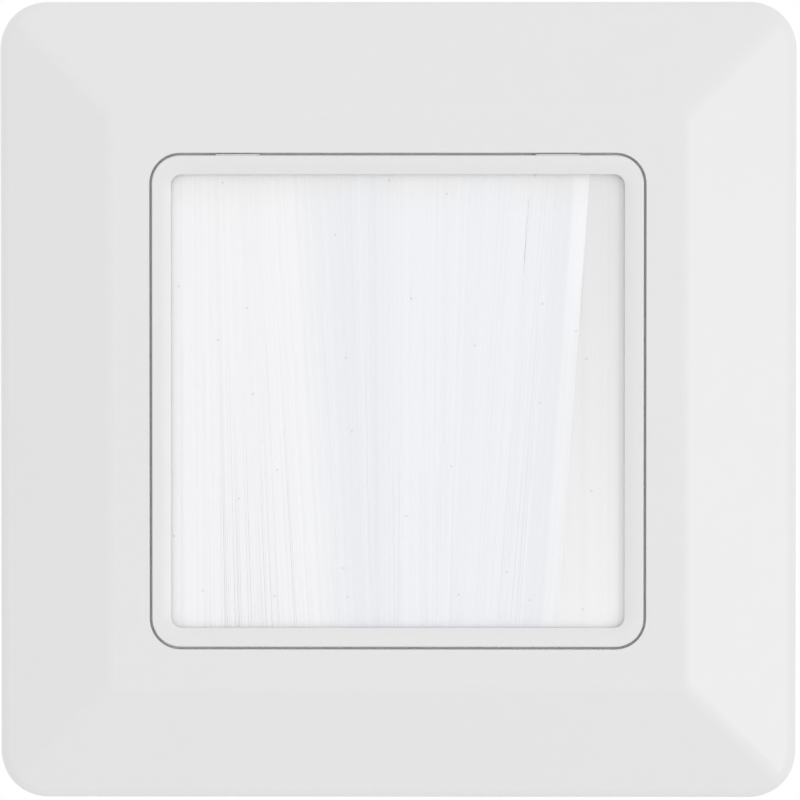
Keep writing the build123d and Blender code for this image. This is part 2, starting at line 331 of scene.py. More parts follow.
class Grower(Tree):
    """A geometry node tree with named inputs, whose result becomes a plain mesh."""

    def __init__(self, name: str, sizes: dict[str, Size]) -> None:
        """Make the tree and its inputs.

        Args:
            name: the tree's name.
            sizes: the piece's sizes, each of which becomes a named input.
        """
        super().__init__(bpy.data.node_groups.new(name, "GeometryNodeTree"))
        self.name = name
        self.sizes = sizes
        self._declare("Geometry", SizeKind.SHAPE)
        self.node_tree.interface.new_socket("Geometry", in_out="OUTPUT", socket_type=SizeKind.SHAPE.value)
        self._declare("Material", SizeKind.FINISH)
        self.inputs = {key: self._declare(key, size.kind) for key, size in sizes.items()}

    def __getitem__(self, name: str) -> Wire:
        """The wire of a named input."""
        return self.inputs[name]

    def _declare(self, name: str, kind: SizeKind) -> Wire:
        """Add a named input and return its wire."""
        self.node_tree.interface.new_socket(name, in_out="INPUT", socket_type=kind.value)
        return self.node("NodeGroupInput", {}, {})[name]

    def position(self) -> tuple[Wire, Wire, Wire]:
        """Where each point is now."""
        return self.split(self.node("GeometryNodeInputPosition", {}, {})[0])

    def move(self, geometry: Wire, x: Wire, y: Wire, z: Wire) -> Wire:
        """Put each point in a new position."""
        sockets = {"Geometry": geometry, "Position": self.vector(x, y, z)}
        return self.node("GeometryNodeSetPosition", {}, sockets)["Geometry"]

    def transform(self, geometry: Wire, turn: Any, shift: Wire) -> Wire:
        """Turn the whole geometry about the origin, then shift it."""
        sockets = {"Geometry": geometry, "Rotation": turn, "Translation": shift}
        return self.node("GeometryNodeTransform", {}, sockets)["Geometry"]

    def chance(self, low: float, high: float, seed: Wire, salt: int) -> Wire:
        """A random value for each element.

        Args:
            low: the lowest value.
            high: the highest value.
            seed: the tree's seed.
            salt: a whole number that sets this draw apart from the others.

        Returns:
            The value.
        """
        sockets = {"Min": low, "Max": high, "Seed": seed + salt}
        return self.node("FunctionNodeRandomValue", {"data_type": "FLOAT"}, sockets)["Value"]

    def keep(self, geometry: Wire, name: str, value: Wire) -> Wire:
        """Store a value on the geometry's points under a name."""
        settings = {"data_type": "FLOAT", "domain": "POINT"}
        sockets = {"Geometry": geometry, "Name": name, "Value": value}
        return self.node("GeometryNodeStoreNamedAttribute", settings, sockets)["Geometry"]

    def kept(self, name: str) -> Wire:
        """A value stored before."""
        return self.node("GeometryNodeInputNamedAttribute", {"data_type": "FLOAT"}, {"Name": name})["Attribute"]

    def end(self, geometry: Wire) -> None:
        """Finish the tree with real geometry and the given material."""
        real = self.node("GeometryNodeRealizeInstances", {}, {"Geometry": geometry})["Geometry"]
        material = self.node("NodeGroupInput", {}, {})["Material"]
        dressed = self.node("GeometryNodeSetMaterial", {}, {"Geometry": real, "Material": material})["Geometry"]
        self.node("NodeGroupOutput", {}, {"Geometry": dressed})

    def grow(self, name: str, finish: bpy.types.Material) -> bpy.types.Object:
        """Run the tree once.

        Args:
            name: the new piece's name.
            finish: the piece's finish.

        Returns:
            An object that holds the result as a plain mesh.
        """
        seedling = bpy.data.objects.new(f"{name}_seedling", bpy.data.meshes.new(f"{name}_seedling"))
        bpy.context.scene.collection.objects.link(seedling)
        modifier = seedling.modifiers.new(self.name, "NODES")
        modifier.node_group = self.node_tree
        values = {key: size.value for key, size in self.sizes.items()} | {"Material": finish}
        for item in self.node_tree.interface.items_tree:
            if item.in_out == "INPUT" and item.name in values:
                modifier[item.identifier] = values[item.name]
        grown = seedling.evaluated_get(bpy.context.evaluated_depsgraph_get())
        mesh = bpy.data.meshes.new_from_object(grown)
        mesh.name = name
        bpy.data.objects.remove(seedling)
        piece = bpy.data.objects.new(name, mesh)
        bpy.context.scene.collection.objects.link(piece)
        return piece


# Finishes


@dataclass(frozen=True)
class MouldedPlastic:
    """Smooth satin moulding with a very fine tool grain.

    Attributes:
        name: the material's name.
        light: the colour where the pigment is a shade lighter.
        dark: the colour where it is a shade darker.
        roughness: how matt it is.
        grain: the tool grain's spacing.
        grain_depth: the tool grain's depth.
        flow: the spacing of the flow marks in the pigment.
        cloud: the spacing of the finer clouds in it.
    """

    name: str
    light: Colour
    dark: Colour
    roughness: float
    grain: float
    grain_depth: float
    flow: float = 18.0
    cloud: float = 3.0

    def material(self) -> bpy.types.Material:
        """Build the material."""
        surface = Surface(self.name)
        place = surface.place()
        flow = surface.noise(place, 1 / (self.flow * MM), 3.0)
        cloud = surface.noise(place, 1 / (self.cloud * MM), 2.0)
        grain = surface.noise(place, 1 / (self.grain * MM), 3.0)
        return surface.set(
            Base_Color=surface.blend(self.dark, self.light, flow * 0.7 + cloud * 0.3),
            Roughness=self.roughness + (cloud - 0.5) * 0.08,
            Normal=surface.bump(grain, self.grain_depth, 1.0),
            IOR=1.5,
        )


@dataclass(frozen=True)
class PlatedSteel:
    """Bright zinc plate, with the rolling lines or drawing lines of the steel under it.

    Attributes:
        name: the material's name.
        cool: the bluish shade of the plating.
        warm: the yellowish shade of the plating.
        roughness: how matt it is.
        stretch: the share of its size that the pattern of lines has along X, Y and Z.
        lines: the spacing of the lines.
        tint: the spacing of the patches of either shade.
        blotch: the spacing of the smaller matt patches.
    """

    name: str
    cool: Colour
    warm: Colour
    roughness: float
    stretch: tuple[float, float, float]
    lines: float = 0.35
    tint: float = 7.0
    blotch: float = 1.6

    def material(self) -> bpy.types.Material:
        """Build the material."""
        surface = Surface(self.name)
        place = surface.place()
        lines = surface.noise(surface.place(self.stretch), 1 / (self.lines * MM), 3.0)
        tint = surface.noise(place, 1 / (self.tint * MM), 3.0)
        blotch = surface.noise(place, 1 / (self.blotch * MM), 4.0)
        return surface.set(
            Base_Color=surface.blend(self.cool, self.warm, tint.ramp(0.35, 0.7)),
            Metallic=1.0,
            Roughness=self.roughness + (lines - 0.5) * 0.16 + (blotch - 0.5) * 0.14,
            Normal=surface.bump(lines * 0.6 + blotch * 0.4, 0.02, 0.5),
        )


@dataclass(frozen=True)
class ClearNylon:
    """Milky nylon filament, with a tint that is partly painted light, a random shade of its own, and painted
    light and shade near the root and towards the tips.

    Attributes:
        name: the material's name.
        clear: the bluish white of the clearest filaments.
        milky_and_lit: the warmer white of the milkiest, lighter too: partly the nylon's own tint, partly
            painted light.
        root: the colour painted near the root: painted shade where it is darker than the body, painted light
            where it is lighter.
        shade: how much darker the darkest filaments are, as a share.
        tips: how much darker they get towards the tips, as a share: painted shade.
        roughness: how matt it is.
        dust: how much darker a speck of dust is, as a share.
        dust_gap: how far apart the specks are.
        dust_edge: the radii between which a speck fades, as shares of that gap.
        root_reach: how far the painted root colour reaches, as a share of the filament.
        streak_gap: the spacing of the streaks along a filament.
        streak_share: the share of the shading that comes from them.
    """

    name: str
    clear: Colour
    milky_and_lit: Colour
    root: Colour
    shade: float
    tips: float
    roughness: float
    dust: float = 0.16
    dust_gap: float = 9.0
    dust_edge: Span = (0.008, 0.018)
    root_reach: float = 0.12
    streak_gap: float = 0.25
    streak_share: float = 0.15

    def _dust(self, surface: Surface) -> Wire:
        """1 in the middle of a speck of dust and 0 elsewhere."""
        x, _, z = surface.split(surface.place())
        sockets = {"Vector": surface.vector(x, z, 0.0), "Scale": 1 / (self.dust_gap * MM)}
        specks = surface.node("ShaderNodeTexVoronoi", {"voronoi_dimensions": "2D"}, sockets)
        return 1 - specks["Distance"].ramp(*self.dust_edge)

    def material(self) -> bpy.types.Material:
        """Build the material."""
        surface = Surface(self.name)
        streak = surface.noise(surface.place((1.0, 1.0, 0.12)), 1 / (self.streak_gap * MM), 2.0)
        reach = surface.attribute("reach")
        # from the milky end to the clear one: partly the nylon's own tint, partly painted light on the milky
        # end
        body = surface.blend(self.milky_and_lit, self.clear, surface.attribute("tint"))
        # the root's colour: painted shade on the front brush, painted light on the rear brush
        sockets = {"Factor": 1 - reach.ramp(0.0, self.root_reach), "A": body, "B": (*self.root, 1.0)}
        body = surface.node("ShaderNodeMix", {"data_type": "RGBA"}, sockets)["Result"]

        # each filament is lighter or darker as a whole, partly at random and partly by painted light and shade
        # from the row's tree, with finer streaks along it
        light = surface.attribute("tone_and_painted_light") * (1 - self.streak_share) + streak * self.streak_share
        share = 1 - (1 - light) * self.shade
        # painted shade that grows towards the tips, then the specks of dust
        share = (share - reach * self.tips) * (1 - self._dust(surface) * self.dust)
        sockets = {0: body, "Scale": share}
        shaded = surface.node("ShaderNodeVectorMath", {"operation": "SCALE"}, sockets)["Vector"]
        return surface.set(Base_Color=shaded, Roughness=self.roughness + (streak - 0.5) * 0.1, IOR=1.53)


FRAME_PLASTIC = MouldedPlastic(
    name="frame_plastic",
    light=(0.80, 0.80, 0.80),
    dark=(0.785, 0.785, 0.787),
    roughness=0.36,
    grain=0.22,
    grain_depth=0.0016,
)
PLATE_PLASTIC = MouldedPlastic(
    name="plate_plastic",
    light=(0.80, 0.80, 0.80),
    dark=(0.785, 0.785, 0.787),
    roughness=0.34,
    grain=0.2,
    grain_depth=0.0014,
)
HOLDER_PLASTIC = MouldedPlastic(
    name="holder_plastic",
    light=(0.74, 0.74, 0.73),
    dark=(0.70, 0.70, 0.69),
    roughness=0.5,
    grain=0.3,
    grain_depth=0.006,
)
ZINC_SHEET = PlatedSteel(
    name="zinc_sheet",
    cool=(0.65, 0.67, 0.695),
    warm=(0.70, 0.69, 0.655),
    roughness=0.34,
    stretch=(0.06, 1.0, 1.0),
)
SCREW_ZINC = PlatedSteel(
    name="screw_zinc",
    cool=(0.67, 0.685, 0.70),
    warm=(0.72, 0.70, 0.64),
    roughness=0.28,
    stretch=(1.0, 0.3, 1.0),
)
BRUSH_STRIP = PlatedSteel(
    name="brush_strip",
    cool=(0.78, 0.79, 0.80),
    warm=(0.74, 0.75, 0.75),
    roughness=0.36,
    stretch=(0.05, 1.0, 1.0),
)
BRUSH_WIRE = PlatedSteel(
    name="brush_wire",
    cool=(0.56, 0.56, 0.57),
    warm=(0.60, 0.59, 0.56),
    roughness=0.3,
    stretch=(0.05, 1.0, 1.0),
)
NYLON = ClearNylon(
    name="clear_nylon",
    clear=(0.9, 0.915, 0.954),
    milky_and_lit=(0.95, 0.95, 0.965),
    # painted shade near the root, under the plate's top lip
    root=(0.89, 0.89, 0.89),
    shade=0.082,
    tips=0.0,
    roughness=0.4,
)
# the same nylon as the front brush, painted darker: painted shade for the rear brush, which lies deeper
SHADED_REAR_NYLON = ClearNylon(
    name="rear_nylon_painted_shade",
    clear=(0.9, 0.92, 0.925),
    milky_and_lit=(0.93, 0.93, 0.935),
    # painted light near the root
    root=(0.94, 0.94, 0.94),
    shade=0.065,
    # painted shade towards the tips, which lie under the plate's top lip
    tips=0.12,
    roughness=0.4,
)


def dress(node: str, finish: bpy.types.Material) -> None:
    """Give a CAD node's own mesh a finish."""
    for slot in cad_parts[node].material_slots:
        slot.material = finish
    log.info("%s: CAD mesh with finish %s", node, finish.name)


def settle(piece: bpy.types.Object, slot: str, *nodes: str) -> None:
    """Hand a finished piece over to the frame.

    Args:
        piece: the piece, in place.
        slot: the record's material slot; not used.
        *nodes: the CAD nodes that it stands for.
    """
    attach(piece, BODY)
    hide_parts(*nodes)
    log.info("%s: %d faces, stands for %s", piece.name, len(piece.data.polygons), ", ".join(nodes))


# Sub-assemblies


@dataclass
class Mouldings:
    """The cover frame, the centre plate and the two mouldings that hold the brushes."""

    frame_node: str = "outer_frame"
    plate_node: str = "centre_plate"
    holder_nodes: tuple[str, ...] = ("brush_carrier", "brush_retainer")

    def build(self) -> None:
        """Dress the four mouldings."""
        dress(self.frame_node, FRAME_PLASTIC.material())
        dress(self.plate_node, PLATE_PLASTIC.material())
        holder = HOLDER_PLASTIC.material()
        for node in self.holder_nodes:
            dress(node, holder)


@dataclass
class BoxScrew:
    """A screw that holds the plate to the wall box: the CAD model's own head, and a cut thread.

    Attributes:
        node: the screw's CAD node.
        thread_length: how far the thread reaches behind the plate.
        crest: the thread's outer diameter.
        core: the diameter between the ridges.
        pitch: the distance from one turn to the next.
        taper: the length of the tapered tip.
        tip: the tip's radius as a share of the thread's.
        sides: the points round one turn.
        steps_per_turn: the points along the screw for one turn.
        flank: the ridge's foot and crest, as shares of the way from one valley to the next crest.
        run_in: how many turns the ridge takes to reach its full height.
        sharp: the angle above which an edge is drawn sharp.
    """

    node: str
    thread_length: float = 13.8
    crest: float = 3.2
    core: float = 2.5
    pitch: float = 0.9
    taper: float = 1.4
    tip: float = 0.55
    sides: int = 36
    steps_per_turn: int = 12
    flank: Span = (0.2, 0.8)
    run_in: float = 0.6
    sharp: float = 35.0

    def _sizes(self) -> dict[str, Size]:
        """The named inputs of the thread's tree."""
        low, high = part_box(self.node)
        return {
            "Sides": count(self.sides),
            "Steps": count(round(self.thread_length / self.pitch * self.steps_per_turn)),
            "Length": length(self.thread_length),
            "Crest radius": length(self.crest / 2),
            "Core radius": length(self.core / 2),
            "Pitch": length(self.pitch),
            "Taper length": length(self.taper),
            "Tip share": number(self.tip),
            "Place": triple((low.x + high.x) / 2, self.thread_length / 2 * MM, 0.0),
        }

    def _tree(self) -> Grower:
        """The tree that grows a thread along +Y, from the plane where the plate meets the wall."""
        grower = Grower("thread", self._sizes())
        pitch, core, long = grower["Pitch"], grower["Core radius"], grower["Length"]
        sockets = {"Vertices": grower["Sides"], "Side Segments": grower["Steps"], "Radius": 1.0, "Depth": long}
        bar = grower.node("GeometryNodeMeshCylinder", {"fill_type": "NGON"}, sockets)["Mesh"]

        # a ridge that climbs one pitch in each turn, and that fades in at the start
        x, y, z = grower.position()
        along = z + long * 0.5
        round_it = grower.math("ARCTAN2", y, x) / math.tau
        phase = grower.math("FRACT", along / pitch - round_it + 1)
        ridge = (1 - abs(phase * 2 - 1)).ramp(*self.flank)
        start = (along / pitch).ramp(0.0, self.run_in)
        radius = core + (grower["Crest radius"] - core) * ridge * start

        # the tapered tip
        taper = grower["Taper length"]
        past = ((along - long + taper) / taper).highest(0.0)
        radius = radius * (1 - past * (1 - grower["Tip share"]))
        bar = grower.move(bar, x * radius, y * radius, z)
        grower.end(grower.transform(bar, (math.radians(-90.0), 0.0, 0.0), grower["Place"]))
        return grower

    def _head(self) -> bmesh.types.BMesh:
        """The CAD mesh without its plain thread.

        Returns:
            The head and neck, closed where they meet the thread.
        """
        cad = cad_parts[self.node]
        mesh = bmesh.new()
        mesh.from_mesh(cad.data)
        bmesh.ops.transform(mesh, matrix=cad.matrix_world, verts=mesh.verts)
        bmesh.ops.remove_doubles(mesh, verts=mesh.verts, dist=0.001 * MM)
        thread = [face for face in mesh.faces if face.calc_center_median().y > -0.01 * MM]
        bmesh.ops.delete(mesh, geom=thread, context="FACES")
        open_edges = [edge for edge in mesh.edges if edge.is_boundary]
        bmesh.ops.holes_fill(mesh, edges=open_edges, sides=0)
        return mesh

    def build(self, finish: bpy.types.Material) -> None:
        """Join a threaded bar to the head and hand it over.

        Args:
            finish: the screw's finish.
        """
        piece = self._tree().grow(f"{self.node}_threaded", finish)
        joined = self._head()
        joined.from_mesh(piece.data)
        joined.to_mesh(piece.data)
        joined.free()
        piece.data.shade_smooth()
        piece.data.set_sharp_from_angle(angle=math.radians(self.sharp))
        settle(piece, "screw_steel", self.node)


@dataclass
class SupportPlate:
    """The pressed steel plate and the small screws that hold the brush carrier to it."""

    node: str = "support_plate"
    levels: tuple[str, ...] = ("top", "bottom")
    sides: tuple[str, ...] = ("left", "right")

    def build(self, screw_finish: bpy.types.Material) -> None:
        """Dress the plate and the carrier screws."""
        dress(self.node, ZINC_SHEET.material())
        for level in self.levels:
            for side in self.sides:
                dress(f"carrier_screw_{level}_{side}", screw_finish)


class BrushEnd(Enum):
    """Where a brush is rooted. The value is its turn about the Y axis, in degrees."""

    TOP = 0.0
    BOTTOM = 180.0


@dataclass
class Brush:
    """One brush: a folded strip over a core wire, with filaments that hang from its mouth.

    The filaments are drawn hanging down from a mouth at height 0, then turned and put in place.
    Spans along the row are shares of its width, counted from its middle.

    Attributes:
        name: the first words of the brush's CAD nodes.
        end: where it is rooted.
        columns: how many filaments stand side by side.
        rows: how many stand one behind another.
        diameter: a filament's diameter.
        segments: how many straight stretches a filament is drawn with.
        sides: how many sides a filament is drawn with.
        shortest: the shortest filament's length as a share of the longest's.
        mouth: the thickness of the tuft where it leaves the strip.
        thickness: the thickness of the tuft below the bend.
        sway: how far neighbouring filaments drift together at the tips.
        loose: the share of the filaments that lie loose on the tuft's face.
        stray: how far a loose filament wanders at the tips.
        jitter: how far a root is off its place, as a share of the distance to the next.
        outward: how even the rows are. Below 1 they stand closer towards the tuft's two faces.
        twist: how far a filament is turned about itself at most.
        crowding: how much closer its points stand near the root. At 1 they are evenly spaced.
        lean_in: how far the first third's tips lean along the row.
        lean_back: how far the last third's tips lean the other way.
        splay: how far the tuft reaches past each end of its strip.
        forward: how far the tuft stands in front of its strip.
        bend: how far below the mouth it gets there.
        overlap: from the row's middle to where the other brush's last filament is rooted.
        other_lean: how far that filament's tip leans in.
        lift: how far the filaments behind the other brush's end stand forward.
        rim_lift: how much further forward those past its end stand.
        lift_over: the distances past that end between which the lift grows.
        rim_over: the same for the rim's lift.
        lean_grows: where along the row the first lean grows.
        lean_fades: where it goes back to nothing.
        lean_turns: where the lean back grows.
        held: where the last filaments, which hold each other straight, begin.
        last: where the last bundle begins, which is painted lighter: a painted highlight.
        shadow_beside: where the filaments next to that bundle begin, which are painted darker: painted shadow.
        highlight_fades: where along its filaments that painted highlight fades, as shares.
        bluish: where the filaments turn from the lighter milky end to bluish and darker: partly the nylon's own
            tint, partly painted light.
        bundle: the spacing of the bundles of lighter filaments.
        hue_bundle: the spacing of the bundles of bluer ones.
        drift: the size of a group that drifts together, along the row and in depth.
        wide_drift: the size along the row of the larger groups that do so too.
        depth_drift: the size of a group that drifts together in depth, along the row and in depth.
        finish: the filaments' finish.
        seed: the seed of everything random in it.
    """

    name: str
    end: BrushEnd
    seed: int
    columns: int = 540
    rows: int = 7
    diameter: float = 0.15
    segments: int = 6
    sides: int = 4
    shortest: float = 0.998
    mouth: float = 1.15
    thickness: float = 1.5
    sway: float = 0.1
    loose: float = 0.006
    stray: float = 1.2
    jitter: float = 0.15
    outward: float = 0.45
    twist: float = 5.0
    crowding: float = 2.18
    lean_in: float = 2.8
    lean_back: float = 3.3
    splay: float = 0.35
    forward: float = 2.3
    bend: float = 0.95
    overlap: float = 17.79
    other_lean: float = 3.3
    lift: float = 0.0
    rim_lift: float = 0.0
    lift_over: Span = (-5.0, -0.5)
    rim_over: Span = (-1.3, -0.8)
    lean_grows: Span = (-0.5, -0.2)
    lean_fades: Span = (-0.2, 0.05)
    lean_turns: Span = (0.05, 0.38)
    held: Span = (0.455, 0.475)
    last: Span = (0.455, 0.47)
    shadow_beside: Span = (0.41, 0.45)
    highlight_fades: Span = (0.22, 0.5)
    bluish: Span = (-0.26, -0.06)
    bundle: float = 3.4
    hue_bundle: float = 2.6
    drift: Span = (1.4, 4.0)
    wide_drift: float = 6.0
    depth_drift: Span = (1.1, 2.0)
    finish: ClearNylon = NYLON

    def _sizes(self) -> dict[str, Size]:
        """The named inputs of the row's tree. The brush's length and place come from its CAD nodes."""
        low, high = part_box(f"{self.name}_bristles")
        strip_low, strip_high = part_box(f"{self.name}_channel")
        hangs = self.end is BrushEnd.TOP
        root = strip_low.z if hangs else strip_high.z
        tip = low.z if hangs else high.z
        inset = (self.diameter + 2 * self.splay) * MM
        return {
            "Columns": count(self.columns),
            "Rows": count(self.rows),
            "Segments": count(self.segments),
            "Sides": count(self.sides),
            "Seed": count(self.seed),
            "Row width": Size(SizeKind.NUMBER, high.x - low.x - inset),
            "Length": Size(SizeKind.NUMBER, abs(tip - root)),
            "Mouth": length(self.mouth - self.diameter),
            "Thickness": length(self.thickness - self.diameter),
            "Radius": length(self.diameter / 2),
            "Shortest": number(self.shortest),
            "Sway": length(self.sway),
            "Loose": number(self.loose),
            "Stray": length(self.stray),
            "Jitter": number(self.jitter),
            "Outward": number(self.outward),
            "Twist": angle(self.twist),
            "Crowding": number(self.crowding),
            "Lean in": length(self.lean_in),
            "Lean back": length(self.lean_back),
            "Splay": length(self.splay),
            "Forward": length(self.forward),
            "Bend length": length(self.bend),
            "Overlap": length(self.overlap),
            "Other lean": length(self.other_lean),
            "Lift": length(self.lift),
            "Rim lift": length(self.rim_lift),
            "Turn": triple(0.0, math.radians(self.end.value), 0.0),
            "Place": triple((low.x + high.x) / 2, (strip_low.y + strip_high.y) / 2, root),
        }

    def _roots(self, grower: Grower) -> Wire:
        """The filaments' roots: packed side by side in rows, each a little off its place.

        Args:
            grower: the row's tree.

        Returns:
            One point for each filament, with the values that the filament keeps along its length.
        """
        columns, rows, seed = grower["Columns"], grower["Rows"], grower["Seed"]
        index = grower.node("GeometryNodeInputIndex", {}, {})["Index"]
        row_of = grower.math("FLOOR", (index + 0.5) / columns)
        column_of = index - row_of * columns
        step = row_of % 2.0 * 0.5
        off = grower.chance(-1.0, 1.0, seed, 1) * grower["Jitter"]
        along = (column_of + 0.25 + step + off) / columns - 0.5
        off = grower.chance(-1.0, 1.0, seed, 2) * grower["Jitter"] * 0.4
        across = (row_of + 0.5 + off) / rows * 2 - 1
        across = grower.math("SIGN", across) * abs(across) ** grower["Outward"] * 0.5
        x = along * grower["Row width"]
        sockets = {"Count": columns * rows, "Position": grower.vector(x, across * grower["Mouth"], 0.0)}
        roots = grower.node("GeometryNodePoints", {}, sockets)["Points"]

        # bundles of lighter and bluer filaments at random, and a painted highlight on the bundle at the row's
        # end
        bundle = grower.noise(grower.vector(x * (1 / (self.bundle * MM)), 0.7, 5.1), 1.0, 2.0)
        hue = grower.noise(grower.vector(x * (1 / (self.hue_bundle * MM)), 3.3, 8.4), 1.0, 1.0)
        last = along.ramp(*self.last)
        # painted shadow on the filaments next to the end bundle
        shadow_beside = along.ramp(*self.shadow_beside) * (1 - last)
        tone_and_painted_light = (bundle.ramp(0.3, 0.7) * 0.5 + grower.chance(0.0, 0.5, seed, 3)) * (1 - shadow_beside * 0.5)
        # the milky end of the row, and the end bundle, are painted lighter as well as warmer
        tint = along.ramp(*self.bluish) * (0.5 + hue.ramp(0.3, 0.7) * 0.6) * (1 - last * 0.6)
        cut = 1 - (1 - grower["Shortest"]) * grower.chance(0.0, 1.0, seed, 4) ** 1.6
        twist = math.pi / 4 + grower.chance(-1.0, 1.0, seed, 7) * grower["Twist"]

        # the loose filaments come from the rows behind, so the face keeps all of its own
        hidden = grower.math("GREATER_THAN", across, -0.2)
        picked = grower.math("LESS_THAN", grower.chance(0.0, 1.0, seed, 6), grower["Loose"] * 2)
        kept = {
            "tone_and_painted_light": tone_and_painted_light,
            "last": last,
            "tint": tint,
            "cut": cut,
            "twist": twist,
            "wander": grower.chance(-1.0, 1.0, seed, 5),
            "loose": hidden * picked,
        }
        for name, value in kept.items():
            roots = grower.keep(roots, name, value)
        return roots

    @staticmethod
    def _drop(grower: Grower, reach: Wire) -> Wire:
        """How much of the bend below the mouth lies behind a point, from 0 to 1."""
        return (reach * grower["Length"] / grower["Bend length"]).ramp(0.0, 1.0)

    def _sideways(self, grower: Grower, x: Wire, y: Wire, reach: Wire) -> tuple[Wire, Wire, Wire]:
        """How a filament runs along the row: it leans, splays out at the ends and sways.

        Args:
            grower: the row's tree.
            x: where along the row it is rooted.
            y: where in depth it is rooted.
            reach: how far along the filament a point is, from 0 to 1.

        Returns:
            The point's place along the row, that place without the sway, and the sway in depth.
        """
        share = x / grower["Row width"]
        drop = self._drop(grower, reach)
        to_right = share.ramp(*self.lean_grows) * (1 - share.ramp(*self.lean_fades))
        lean = to_right * grower["Lean in"] - share.ramp(*self.lean_turns) * grower["Lean back"]
        settled = x + share * 2 * grower["Splay"] * drop + lean * reach

        # the sway grows along the filament, and the row's last filaments hold each other straight
        bend = reach * reach * (1 - reach * reach * 0.5) * (1 - share.ramp(*self.held) * 0.85)
        long, deep = (1 / (size * MM) for size in self.drift)
        flow = grower.noise(grower.vector(x * long, y * deep, reach * 1.6), 1.0, 1.5) - 0.5
        long = 1 / (self.wide_drift * MM)
        wide = grower.noise(grower.vector(x * long, reach * 1.1, 3.7), 1.0, 1.0) - 0.5
        long, deep = (1 / (size * MM) for size in self.depth_drift)
        depth = grower.noise(grower.vector(x * long, y * deep, reach * 2.2 + 11.0), 1.0, 1.0) - 0.5
        stray = grower.kept("loose") * grower.kept("wander") * grower["Stray"]
        swayed = settled + (flow * grower["Sway"] + wide * grower["Sway"] * 1.5 + stray) * bend
        return swayed, settled, depth * grower["Sway"] * 0.3 * bend

    def _in_depth(self, grower: Grower, y: Wire, settled: Wire, reach: Wire) -> Wire:
        """How a filament runs in depth: the tuft gets thicker and bends forward.

        Args:
            grower: the row's tree.
            y: where in depth it is rooted.
            settled: the point's place along the row without the sway.
            reach: how far along the filament the point is, from 0 to 1.

        Returns:
            The point's depth without the sway.
        """
        drop = self._drop(grower, reach)
        deep = y * (1 + (grower["Thickness"] / grower["Mouth"] - 1) * drop)
        apart = abs(grower.kept("wander"))
        face = -grower["Thickness"] * 0.5 - apart * 0.025 * MM
        deep = deep + (face - deep) * grower.kept("loose") * (reach - apart * 0.5).ramp(0.0, 0.25)

        # the filaments that the other brush doesn't hold down stand further forward
        clear = (1 - reach) * grower["Other lean"] - settled - grower["Overlap"]
        past = clear.ramp(*(edge * MM for edge in self.lift_over)) * drop
        rim = clear.ramp(*(edge * MM for edge in self.rim_over)) * drop
        return deep - drop * grower["Forward"] - past * grower["Lift"] - rim * grower["Rim lift"]

    def _tree(self) -> Grower:
        """The tree that grows a row of filaments."""
        grower = Grower("filament_row", self._sizes())
        roots = self._roots(grower)

        # one straight filament for each root, then bent as a whole row
        line = grower.node("GeometryNodeCurvePrimitiveLine", {}, {"End": (0.0, 0.0, -1.0)})["Curve"]
        sockets = {"Curve": line, "Count": grower["Segments"] + 1}
        line = grower.node("GeometryNodeResampleCurve", {}, sockets)["Curve"]
        row = grower.node("GeometryNodeInstanceOnPoints", {}, {"Points": roots, "Instance": line})["Instances"]
        row = grower.node("GeometryNodeRealizeInstances", {}, {"Geometry": row})["Geometry"]
        x, y, z = grower.position()
        reach = (-z) ** grower["Crowding"]
        swayed, settled, sway_in_depth = self._sideways(grower, x, y, reach)
        deep = self._in_depth(grower, y, settled, reach) + sway_in_depth

        # the painted highlight on the end bundle fades half way along
        painted_highlight = grower.kept("last") * (1 - reach.ramp(*self.highlight_fades))
        # the loose filaments take the lightest tone: painted light on the filaments that lie on the tuft's face
        tone_and_painted_light = grower.kept("tone_and_painted_light").highest(painted_highlight).highest(grower.kept("loose"))
        row = grower.keep(row, "tone_and_painted_light", tone_and_painted_light)
        row = grower.keep(row, "reach", reach)
        row = grower.move(row, swayed, deep, -reach * grower["Length"] * grower.kept("cut"))

        # square filaments with one side to the front
        twist = grower.kept("twist")
        facing = grower.vector(grower.math("SINE", twist), -grower.math("COSINE", twist), 0.0)
        sockets = {"Curve": row, "Normal": facing}
        row = grower.node("GeometryNodeSetCurveNormal", {"mode": "FREE"}, sockets)["Curve"]
        sockets = {"Resolution": grower["Sides"], "Radius": grower["Radius"]}
        ring = grower.node("GeometryNodeCurvePrimitiveCircle", {}, sockets)["Curve"]
        sockets = {"Curve": row, "Profile Curve": ring, "Fill Caps": True}
        tubes = grower.node("GeometryNodeCurveToMesh", {}, sockets)["Mesh"]
        grower.end(grower.transform(tubes, grower["Turn"], grower["Place"]))
        return grower

    def build(self) -> None:
        """Grow the filaments and dress the strip and the wire."""
        piece = self._tree().grow(f"{self.name}_filaments", self.finish.material())
        piece.data.shade_flat()
        settle(piece, "bristle_nylon", f"{self.name}_bristles")
        dress(f"{self.name}_channel", BRUSH_STRIP.material())
        dress(f"{self.name}_core_wire", BRUSH_WIRE.material())


# Studio


